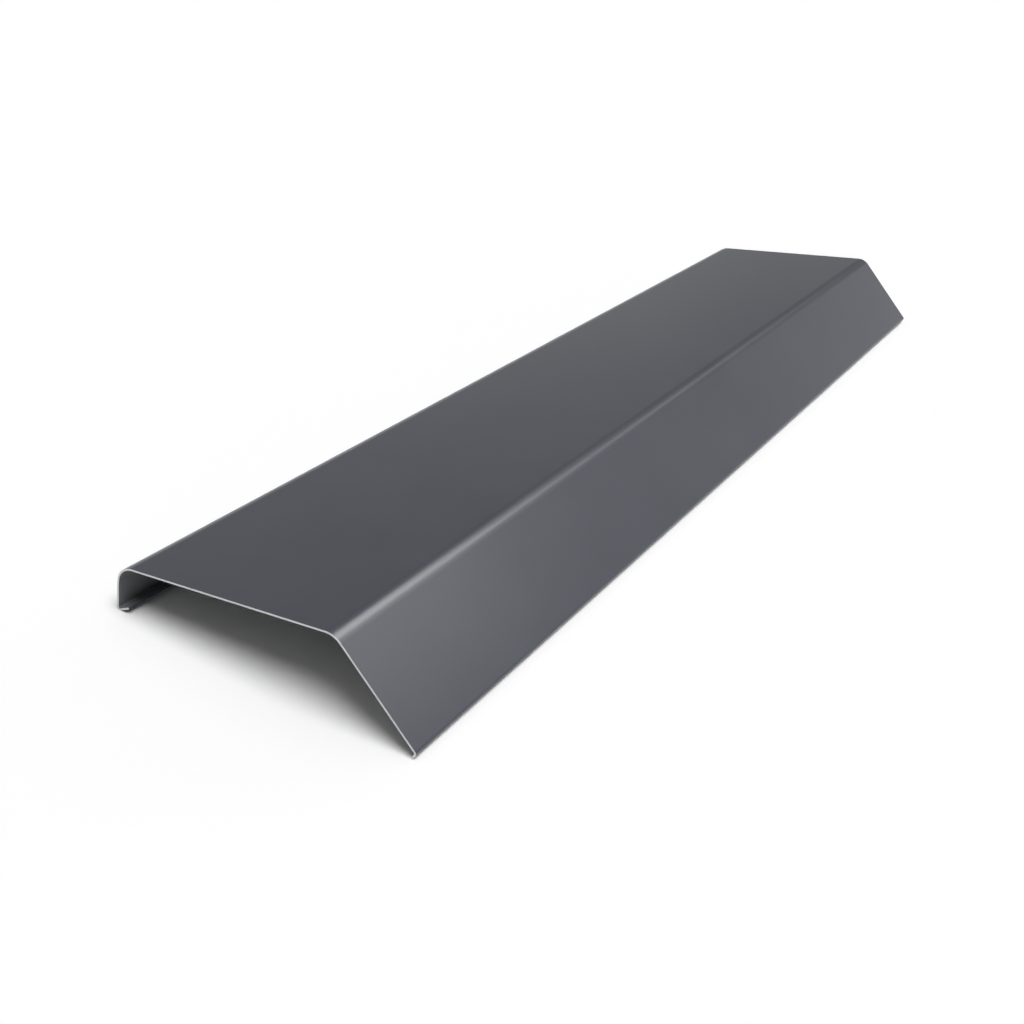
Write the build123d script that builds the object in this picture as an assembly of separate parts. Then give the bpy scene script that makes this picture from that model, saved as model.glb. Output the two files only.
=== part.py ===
from build123d import *
from math import asin, atan2, degrees, hypot
import os

# A folded roof hip cap: one strip of coated sheet metal with a broad flat top, a short left leg,
# a longer sloping right leg and a narrow return folded inwards along each foot.
# Sizes are in millimetres. X runs across the cap, Y along it and Z up. The cap lies on its two feet,
# and the origin is in the middle of its base, on the floor.

# The sheet
LENGTH = 1000.0
THICKNESS = 1.5

# Flat widths of the strip, from one bend to the next
LEFT_RETURN = 10.0
LEFT_LEG = 22.0
TOP = 173.0
RIGHT_LEG = 79.0
RIGHT_RETURN = 4.0

# Angle that each bend turns through, in degrees
LEFT_FOOT_ANGLE = 126.0
LEFT_BEND_ANGLE = 73.0
RIGHT_BEND_ANGLE = 52.0
RIGHT_FOOT_ANGLE = 78.0

# Inside radius of each bend
LEFT_BEND_RADIUS = 18.0
RIGHT_BEND_RADIUS = 14.0
FOOT_RADIUS = 1.0


def bend(flat, inside_radius, angle, cover):
    """Arc that goes on from the end of a flat and turns towards the hollow side of the cap.

    cover is how far this face of the sheet lies outside its inner face.
    """
    return JernArc(flat @ 1, flat % 1, inside_radius + cover, -angle)


def flat(arc, width):
    """Straight run that goes on from the end of a bend."""
    return PolarLine(arc @ 1, width, direction=arc % 1)


def face_line(start, cover):
    """One face of the sheet across the strip, from the left return's free edge to the right one's."""
    left_return = PolarLine(start, LEFT_RETURN, LEFT_FOOT_ANGLE + LEFT_BEND_ANGLE)
    left_foot = bend(left_return, FOOT_RADIUS, LEFT_FOOT_ANGLE, cover)
    left_leg = flat(left_foot, LEFT_LEG)
    left_bend = bend(left_leg, LEFT_BEND_RADIUS, LEFT_BEND_ANGLE, cover)
    top = flat(left_bend, TOP)
    right_bend = bend(top, RIGHT_BEND_RADIUS, RIGHT_BEND_ANGLE, cover)
    right_leg = flat(right_bend, RIGHT_LEG)
    right_foot = bend(right_leg, FOOT_RADIUS, RIGHT_FOOT_ANGLE, cover)
    right_return = flat(right_foot, RIGHT_RETURN)
    return [left_return, left_foot, left_leg, left_bend, top, right_bend, right_leg, right_foot, right_return]


# Section of the folded strip, with the top level
outer = face_line((0, 0), THICKNESS)
into_sheet = (outer[0] % 0).rotate(Axis.Z, -90) * THICKNESS
inner = face_line(outer[0] @ 0 + into_sheet, 0)
left_edge = Line(outer[0] @ 0, inner[0] @ 0)
right_edge = Line(outer[-1] @ 1, inner[-1] @ 1)
section = make_face(outer + inner + [left_edge, right_edge])

# The left leg is the shorter, so the cap leans to the left when it lies on its feet: on the round of
# the left foot and on the free edge of the right return. The floor is the line that touches both.
foot_centre = outer[1].arc_center
reach = outer[-1] @ 1 - foot_centre
floor_slope = atan2(reach.Y, reach.X) + asin((FOOT_RADIUS + THICKNESS) / hypot(reach.X, reach.Y))
lying_section = Rot(0, 0, -degrees(floor_slope)) * section

# The cap is straight and cut square at both ends
strip = extrude(Plane.XZ * lying_section, amount=LENGTH / 2, both=True)
box = strip.bounding_box()
hip_cap = Pos(-box.center().X, -box.center().Y, -box.min.Z) * strip
hip_cap.label = "hip_cap"

os.makedirs("parts", exist_ok=True)
export_step(hip_cap, "parts/hip_cap.step")
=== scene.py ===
from math import asin, radians

import bpy
import numpy as np
from mathutils import Matrix, Vector


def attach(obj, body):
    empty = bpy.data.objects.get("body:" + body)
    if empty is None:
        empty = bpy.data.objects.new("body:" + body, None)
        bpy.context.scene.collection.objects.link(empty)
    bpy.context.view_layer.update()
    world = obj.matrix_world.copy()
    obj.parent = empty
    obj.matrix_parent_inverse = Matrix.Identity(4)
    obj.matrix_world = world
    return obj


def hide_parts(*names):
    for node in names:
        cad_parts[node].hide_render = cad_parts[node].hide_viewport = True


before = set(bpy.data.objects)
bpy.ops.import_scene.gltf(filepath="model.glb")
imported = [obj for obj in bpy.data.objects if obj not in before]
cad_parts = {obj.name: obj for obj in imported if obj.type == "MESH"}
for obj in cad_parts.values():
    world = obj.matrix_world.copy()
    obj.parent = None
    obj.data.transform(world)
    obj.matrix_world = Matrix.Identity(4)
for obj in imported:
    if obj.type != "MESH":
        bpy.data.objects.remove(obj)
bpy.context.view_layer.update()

# Sizes of the folded strip, in metres: the same flats, bends and sheet as in the part
LENGTH = 1.000
THICKNESS = 0.0015
LEFT_RETURN, LEFT_LEG, TOP, RIGHT_LEG, RIGHT_RETURN = 0.0100, 0.0220, 0.1730, 0.0790, 0.0040
LEFT_FOOT_ANGLE, LEFT_BEND_ANGLE = radians(126.0), radians(73.0)
RIGHT_BEND_ANGLE, RIGHT_FOOT_ANGLE = radians(52.0), radians(78.0)
FOOT_RADIUS, LEFT_BEND_RADIUS, RIGHT_BEND_RADIUS = 0.0010, 0.0180, 0.0140

# The strip from its left free edge to its right one: five flats, with a bend after each but the last
FLATS = (LEFT_RETURN, LEFT_LEG, TOP, RIGHT_LEG, RIGHT_RETURN)
BENDS = (
    (LEFT_FOOT_ANGLE, FOOT_RADIUS),
    (LEFT_BEND_ANGLE, LEFT_BEND_RADIUS),
    (RIGHT_BEND_ANGLE, RIGHT_BEND_RADIUS),
    (RIGHT_FOOT_ANGLE, FOOT_RADIUS),
)
START_HEADING = LEFT_FOOT_ANGLE + LEFT_BEND_ANGLE

# Fineness of the drawn sheet: its bends, its softened cut edges and the points that keep flats flat
BEND_STEPS = 28
ARRIS = 0.00012
ARRIS_STEPS = 4
SUPPORT = 0.0006

# Places of the finishes in the sheet's list of materials
OUTSIDE, CUT_EDGE, INSIDE = 0, 1, 2

# Finishes: colours from darker to lighter and roughness from smoother to rougher, as a noise varies them
NOISE_LOW, NOISE_HIGH = 0.3, 0.7
ANTHRACITE = {
    "darker": (0.0645, 0.0690, 0.0845),
    "lighter": (0.0695, 0.0745, 0.0910),
    "smoother": 0.293,
    "rougher": 0.307,
}
# Inside faces: a grey much lighter than the outer coat, painted fill light that stands in for light
# reaching the inside of the cap
INSIDE_PAINTED_FILL = {
    "darker": (0.185, 0.190, 0.200),
    "lighter": (0.197, 0.202, 0.212),
    "smoother": 0.44,
    "rougher": 0.50,
}
BARE_METAL = {
    "darker": (0.48, 0.49, 0.50),
    "lighter": (0.61, 0.62, 0.63),
    "smoother": 0.34,
    "rougher": 0.46,
}
LACQUER_CLOUDS = {"Scale": 14.0, "Detail": 3.0, "Roughness": 0.5}
LACQUER_GRAIN = {"Scale": 2600.0, "Detail": 2.0, "Roughness": 0.6}
LACQUER_RELIEF = {"Strength": 0.05, "Distance": 0.0002}
LACQUER_SPECULAR = 0.40
METAL_MOTTLE = {"Scale": 1800.0, "Detail": 2.0, "Roughness": 0.6}

# The floor: half its side, its white as it is seen and its white as it lights the cap from below
FLOOR_HALF = 40.0
FLOOR_SEEN = 1.05
FLOOR_BOUNCE = 0.80

# Brightness of the surroundings, from the horizon at height 0 to straight up at height 1
SURROUNDINGS = ((0.0, 1.0), (0.08, 0.68), (0.205, 0.24), (0.30, 0.10), (0.55, 0.12), (1.0, 0.42))

# Far lamps: name, strength, apparent width in degrees and the way towards the lamp
FAR_LAMPS = (
    ("key", 2.38, 36.0, Vector((0.37, -0.12, 0.92))),
    ("far_panel", 0.092, 30.0, Vector((0.37, 0.91, 0.21))),
)

# Softboxes, which show only in the gloss: name, the way and the distance from the near end of the right
# bend, the way that the width runs, the width and the height in metres, and watts
NEAR_BEND = Vector((0.07, -0.45, 0.07))
RIGHT_DOWN = Vector((0.87, 0.05, -0.49))
LEFT_UP = Vector((-0.90, -0.30, 0.43))
SOFTBOXES = (
    ("softbox_core", Vector((0.10, 0.545, 0.832)), 2.5, RIGHT_DOWN, 1.1, 1.2, 28.0),
    ("softbox_rim", Vector((0.32, 0.51, 0.80)), 2.6, RIGHT_DOWN, 2.5, 1.6, 44.0),
    ("softbox_low", Vector((0.11, 0.80, 0.58)), 3.2, RIGHT_DOWN, 0.5, 1.6, 3.3),
    ("softbox_left", Vector((-0.71, 0.645, 0.285)), 4.8, LEFT_UP, 4.4, 1.5, 2.4),
)

# View of the photograph, in the frame of the lying cap
CAMERA_AT = Vector((0.45028, -0.94327, 0.48605))
CAMERA_LOOK = Vector((-0.445840, 0.746997, -0.493175))
CAMERA_UP = Vector((-0.314419, 0.385163, 0.867635))
CAMERA_REACH = 200.0
FOCAL_PIXELS = 1179.69
FRAME_PIXELS = 1024
SENSOR_MM = 36.0


def in_scene(name, data):
    """An object with this mesh, lamp or camera, linked to the scene."""
    made = bpy.data.objects.new(name, data)
    bpy.context.scene.collection.objects.link(made)
    return made


def placed(place, x_way, y_way, z_way):
    """Matrix that puts an object at a place, with its own axes along three ways."""
    return Matrix.Translation(place) @ Matrix((x_way, y_way, z_way)).transposed().to_4x4()


def unit(step):
    """A step in the section's plane, as a complex number, made one long."""
    return step / abs(step)


def chain(cover, trim):
    """One face of the sheet across the strip, as complex numbers x + iz with the top level.

    Flats are straight steps, and a bend of radius r turns clockwise: from a point p with heading h,
    p + i r (exp(i(h - t)) - exp(ih)) for t from 0 to the bend's angle. cover is the distance of this
    face from the inner one, and trim shortens the strip at both free edges. A point close to each
    end of a flat keeps its shading flat.
    """
    heading = START_HEADING
    way = np.exp(1j * heading)
    runs = [np.array([way * trim - 1j * way * (THICKNESS - cover)])]
    for number, width in enumerate(FLATS):
        at_free_edge = number in (0, len(FLATS) - 1)
        width -= trim * at_free_edge
        steps = np.array([SUPPORT, width - SUPPORT, width])
        runs.append(runs[-1][-1] + steps * np.exp(1j * heading))
        if number < len(BENDS):
            angle, radius = BENDS[number]
            t = np.linspace(0.0, angle, BEND_STEPS + 1)[1:]
            turn = np.exp(1j * (heading - t)) - np.exp(1j * heading)
            runs.append(runs[-1][-1] + 1j * (radius + cover) * turn)
            heading -= angle
    return np.concatenate(runs)


def lying(points):
    """Turn the level section so that it lies on its feet, with the middle of its base at the origin.

    The floor touches the round of the left foot and the outer corner of the right free edge. With d
    from the round's centre to that corner, the floor's slope is the angle of d plus asin(r / |d|).
    """
    outer = chain(THICKNESS, 0.0)
    foot = FOOT_RADIUS + THICKNESS
    centre = (LEFT_RETURN - 1j * foot) * np.exp(1j * START_HEADING)
    reach = outer[-1] - centre
    slope = np.angle(reach) + asin(foot / abs(reach))
    turn = np.exp(-1j * slope)
    across = (outer * turn).real
    middle = (across.min() + across.max()) / 2
    floor_height = (centre * turn).imag - foot
    return points * turn - middle - 1j * floor_height


def section(inset):
    """Points round the sheet's section in four runs: outer face, right edge, inner face, left edge.

    Both faces and both free edges move into the sheet by inset. Quarter rounds soften the corners of
    the free edges: for t from 0 to a right angle, ARRIS sin t along the strip and ARRIS (1 - cos t)
    into the sheet.
    """
    outer = chain(THICKNESS - inset, inset + ARRIS)
    inner = chain(inset, inset + ARRIS)
    t = np.linspace(0.0, np.pi / 2, ARRIS_STEPS + 1)[1:]
    along = ARRIS * np.sin(t)
    into = ARRIS * (1 - np.cos(t))

    def free_edge(last, before):
        """The two rounds of one free edge, from the outer face's last point to the inner face's."""
        outwards = unit(outer[last] - outer[before]) * along
        across = unit(inner[last] - outer[last]) * into
        first = outer[last] + outwards + across
        second = inner[last] + outwards - across
        return np.concatenate([first, second[::-1]])

    right = free_edge(-1, -2)
    left = free_edge(0, 1)[::-1]
    return [lying(run) for run in (outer, right, inner[::-1], left)]


def sheet_points():
    """Points of the sheet: the section carried along Y, one ring of points for each station.

    Near each cut end the rings follow a quarter round: for t from 0 to a right angle, y is
    ARRIS (1 - cos t) from the end and the section is inset by ARRIS (1 - sin t). One more ring a
    little further in keeps the shading flat.
    """
    t = np.linspace(0.0, np.pi / 2, ARRIS_STEPS + 1)
    depth = np.append(ARRIS * (1 - np.cos(t)), ARRIS + SUPPORT)
    inset = np.append(ARRIS * (1 - np.sin(t)), 0.0)
    stations = np.append(depth - LENGTH / 2, LENGTH / 2 - depth[::-1])
    insets = np.append(inset, inset[::-1])
    rings = np.array([np.concatenate(section(amount)) for amount in insets])
    along = np.broadcast_to(stations[:, None], rings.shape)
    return np.stack([rings.real, along, rings.imag], axis=-1)


def folded_sheet():
    """The sheet as one closed mesh, with a finish for each face.

    Quads join neighbouring rings. At each cut end, quads across the thickness join the outer face's
    points to the opposite ones on the inner face, and one face more closes each free edge.
    """
    points = sheet_points()
    ring_count, ring_points = points.shape[:2]
    right_start, inner_start, left_start, _ = np.cumsum([len(run) for run in section(0.0)])

    low = np.arange((ring_count - 1) * ring_points)
    step, place = np.divmod(low, ring_points)
    beside = step * ring_points + (place + 1) % ring_points
    sides = np.stack([low, beside, beside + ring_points, low + ring_points], axis=-1)

    k = np.arange(right_start - 1)
    opposite = left_start - 1 - k
    near = np.stack([k, opposite, opposite - 1, k + 1], axis=-1)
    near_left = np.append(np.arange(left_start - 1, ring_points), 0)[::-1]
    near_right = np.arange(right_start - 1, inner_start + 1)[::-1]
    last_ring = (ring_count - 1) * ring_points
    far, far_left, far_right = (face[..., ::-1] + last_ring for face in (near, near_left, near_right))
    ends = near.tolist() + far.tolist()
    ends += [face.tolist() for face in (near_left, near_right, far_left, far_right)]

    mesh = bpy.data.meshes.new("hip_cap_sheet")
    mesh.from_pydata(points.reshape(-1, 3).tolist(), [], sides.tolist() + ends)

    at_cut = np.minimum(step, ring_count - 2 - step) < ARRIS_STEPS
    at_inside = (place >= inner_start) & (place < left_start - 1)
    finish = np.where(at_cut, CUT_EDGE, np.where(at_inside, INSIDE, OUTSIDE))
    finish = np.append(finish, np.full(len(ends), CUT_EDGE))
    mesh.polygons.foreach_set("material_index", finish.astype(np.int32))
    mesh.polygons.foreach_set("use_smooth", np.arange(len(finish)) < len(sides))
    mesh.update()
    return in_scene("hip_cap_sheet", mesh)


def node(tree, kind, place, **values):
    """A shader node with its sockets set by name."""
    made = tree.nodes.new(kind)
    made.location = place
    for name, value in values.items():
        made.inputs[name.replace("_", " ")].default_value = value
    return made


def blank_material(name):
    """A material with an empty tree and its output."""
    material = bpy.data.materials.new(name)
    material.use_nodes = True
    tree = material.node_tree
    tree.nodes.clear()
    return material, tree, node(tree, "ShaderNodeOutputMaterial", (600, 0))


def mottled(name, pattern, darker, lighter, smoother, rougher, **surface):
    """A material whose colour and gloss both follow one noise, with the rest of its surface plain."""
    material, tree, output = blank_material(name)
    link = tree.links.new
    shader = node(tree, "ShaderNodeBsdfPrincipled", (300, 0), **surface)
    where = node(tree, "ShaderNodeTexCoord", (-900, 0))
    noise = node(tree, "ShaderNodeTexNoise", (-600, 200), **pattern)
    tint = node(tree, "ShaderNodeValToRGB", (-300, 200))
    gloss = node(tree, "ShaderNodeMapRange", (-300, -50), To_Min=smoother, To_Max=rougher)
    gloss.inputs["From Min"].default_value = NOISE_LOW
    gloss.inputs["From Max"].default_value = NOISE_HIGH
    for stop, level, colour in zip(tint.color_ramp.elements, (NOISE_LOW, NOISE_HIGH), (darker, lighter)):
        stop.position = level
        stop.color = (*colour, 1)
    link(where.outputs["Object"], noise.inputs["Vector"])
    link(noise.outputs["Fac"], tint.inputs["Fac"])
    link(noise.outputs["Fac"], gloss.inputs["Value"])
    link(tint.outputs["Color"], shader.inputs["Base Color"])
    link(gloss.outputs["Result"], shader.inputs["Roughness"])
    link(shader.outputs["BSDF"], output.inputs["Surface"])
    return material, where, shader


def lacquer(name, shades):
    """Satin lacquer: faint clouds in colour and gloss, and the fine grain of a sprayed coat."""
    material, where, shader = mottled(
        name, LACQUER_CLOUDS, **shades, Specular_IOR_Level=LACQUER_SPECULAR
    )
    tree = material.node_tree
    grain = node(tree, "ShaderNodeTexNoise", (-600, -300), **LACQUER_GRAIN)
    bump = node(tree, "ShaderNodeBump", (-50, -300), **LACQUER_RELIEF)
    tree.links.new(where.outputs["Object"], grain.inputs["Vector"])
    tree.links.new(grain.outputs["Fac"], bump.inputs["Height"])
    tree.links.new(bump.outputs["Normal"], shader.inputs["Normal"])
    return material


def bare_cut_edge():
    """Bright bare metal where the sheet was cut, with a fine mottle from the shears."""
    return mottled("bare_cut_edge", METAL_MOTTLE, **BARE_METAL, Metallic=1.0)[0]


def white_floor():
    """Wide white floor that keeps the cap's shadow."""
    mesh = bpy.data.meshes.new("studio_floor")
    signs = ((-1, -1), (1, -1), (1, 1), (-1, 1))
    mesh.from_pydata([(x * FLOOR_HALF, y * FLOOR_HALF, 0.0) for x, y in signs], [], [(0, 1, 2, 3)])
    material, tree, output = blank_material("white_floor")
    link = tree.links.new
    path = node(tree, "ShaderNodeLightPath", (-900, 0))
    seen = node(tree, "ShaderNodeMath", (-600, 100))
    seen.operation = "MAXIMUM"
    seen_at_all = node(tree, "ShaderNodeMath", (-400, 0))
    seen_at_all.operation = "MAXIMUM"
    white = node(tree, "ShaderNodeMapRange", (-200, 0), To_Min=FLOOR_BOUNCE, To_Max=FLOOR_SEEN)
    shader = node(tree, "ShaderNodeBsdfDiffuse", (300, 0))
    link(path.outputs["Is Camera Ray"], seen.inputs[0])
    link(path.outputs["Is Glossy Ray"], seen.inputs[1])
    link(seen.outputs["Value"], seen_at_all.inputs[0])
    link(path.outputs["Is Transmission Ray"], seen_at_all.inputs[1])
    link(seen_at_all.outputs["Value"], white.inputs["Value"])
    link(white.outputs["Result"], shader.inputs["Color"])
    link(shader.outputs["BSDF"], output.inputs["Surface"])
    mesh.materials.append(material)
    in_scene("studio_floor", mesh)


def surroundings():
    """Pale surroundings, white at the horizon, darker above it and lighter again overhead."""
    world = bpy.data.worlds.new("studio")
    world.use_nodes = True
    bpy.context.scene.world = world
    tree = world.node_tree
    link = tree.links.new
    where = node(tree, "ShaderNodeTexCoord", (-900, 0))
    parts = node(tree, "ShaderNodeSeparateXYZ", (-650, 0))
    height = node(tree, "ShaderNodeValToRGB", (-400, 0))
    stops = height.color_ramp.elements
    for place, _ in SURROUNDINGS[1:-1]:
        stops.new(place)
    for stop, (place, level) in zip(stops, SURROUNDINGS):
        stop.position = place
        stop.color = (level, level, level, 1)
    link(where.outputs["Generated"], parts.inputs["Vector"])
    link(parts.outputs["Z"], height.inputs["Fac"])
    link(height.outputs["Color"], tree.nodes["Background"].inputs["Color"])


def studio_lamps():
    """A broad key overhead, a weak far panel and softboxes that shape the gloss along the bend."""
    for name, strength, width, towards in FAR_LAMPS:
        lamp = bpy.data.lights.new(name, "SUN")
        lamp.energy = strength
        lamp.angle = radians(width)
        in_scene(name, lamp).rotation_euler = towards.to_track_quat("Z", "Y").to_euler()

    for name, way, distance, along, width, height, watts in SOFTBOXES:
        lamp = bpy.data.lights.new(name, "AREA")
        lamp.shape = "RECTANGLE"
        lamp.size = width
        lamp.size_y = height
        lamp.energy = watts
        softbox = in_scene(name, lamp)
        towards = way.normalized()
        side = towards.cross(along).normalized()
        softbox.matrix_world = placed(NEAR_BEND + distance * towards, side.cross(towards), side, towards)
        softbox.visible_camera = False
        softbox.visible_diffuse = False


def photograph_camera():
    """Camera at the photograph's viewing angle, for a square frame."""
    data = bpy.data.cameras.new("photograph")
    data.sensor_fit = "HORIZONTAL"
    data.sensor_width = SENSOR_MM
    data.lens = FOCAL_PIXELS / FRAME_PIXELS * SENSOR_MM
    data.clip_end = CAMERA_REACH
    back = -CAMERA_LOOK.normalized()
    right = CAMERA_UP.cross(back).normalized()
    camera = in_scene("photograph", data)
    camera.matrix_world = placed(CAMERA_AT, right, back.cross(right), back)
    bpy.context.scene.camera = camera


sheet = folded_sheet()
anthracite = lacquer("anthracite_coat", ANTHRACITE)
# The inside faces get the lighter grey, painted fill light in place of the outer coat in shade
inside_painted_fill = lacquer("inside_painted_fill_coat", INSIDE_PAINTED_FILL)
for finish in (anthracite, bare_cut_edge(), inside_painted_fill):
    sheet.data.materials.append(finish)
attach(sheet, "root")
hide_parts("hip_cap")

white_floor()
surroundings()
studio_lamps()
photograph_camera()
bpy.context.scene.view_settings.view_transform = "Standard"
